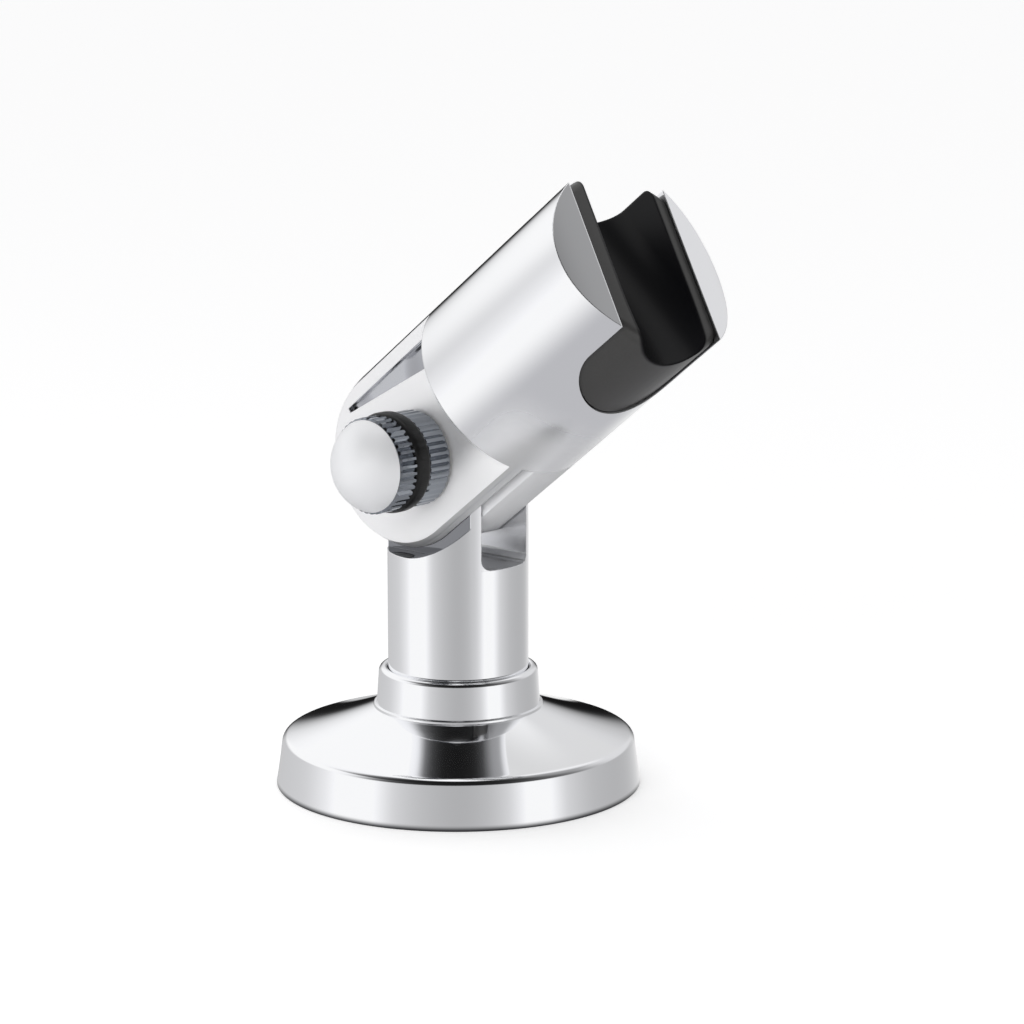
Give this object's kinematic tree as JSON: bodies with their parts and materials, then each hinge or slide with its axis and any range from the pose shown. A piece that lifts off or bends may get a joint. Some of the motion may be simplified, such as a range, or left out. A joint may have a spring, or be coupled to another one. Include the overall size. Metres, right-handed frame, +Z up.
{
  "type": "hand shower holder",
  "caption": "Wall holder for a hand shower: round stepped flange, short stem and a tilting cylindrical head with a lined slot, locked by a ribbed side knob.",
  "frame": {"origin": "centre of the flange's wall side", "axes": "+Z up the stem away from the wall, X along the pivot with the knob on -X, head leaning to -Y"},
  "size_m": [0.06, 0.0792, 0.1015],
  "materials": {
    "chrome": "polished chrome plate",
    "satin_chrome": "satin chrome",
    "liner_plastic": "moulded, satin",
    "black_rubber": "moulded rubber",
    "foam": "closed-cell foam",
    "zinc_steel": "zinc plated",
    "bronze": "plain bearing bronze",
    "nylon": "natural nylon"
  },
  "bodies": {
    "base": {"wall_plate": "zinc_steel", "wall_gasket": "foam", "stem": "chrome", "stem_screw": "zinc_steel", "locating_pin": "zinc_steel"},
    "cover": {"flange_cover": "chrome", "cover_seal": "black_rubber"},
    "head": {"head": "chrome", "liner": "liner_plastic", "liner_screw": "zinc_steel", "cap_nut": "chrome", "lock_washer": "zinc_steel", "pivot_bush": "bronze", "friction_washer_near": "nylon", "friction_washer_far": "nylon", "thrust_washer": "nylon"},
    "knob": {"knob": "chrome", "grip_ring": "black_rubber", "knob_cap": "satin_chrome", "pivot_bolt": "zinc_steel"}
  },
  "joints": [
    {"name": "cover_slide", "type": "slide", "parent": "base", "child": "cover", "axis": [0, 0, 1], "range_m": [0, 0.016]},
    {"name": "head_tilt", "type": "hinge", "parent": "base", "child": "head", "pos_m": [0, 0, 0.0554], "axis": [1, 0, 0], "range_deg": [-3, 26]},
    {"name": "knob_turn", "type": "hinge", "parent": "head", "child": "knob", "pos_m": [0, 0, 0.0554], "axis": [-1, 0, 0], "range_deg": [0, 180]}
  ]
}
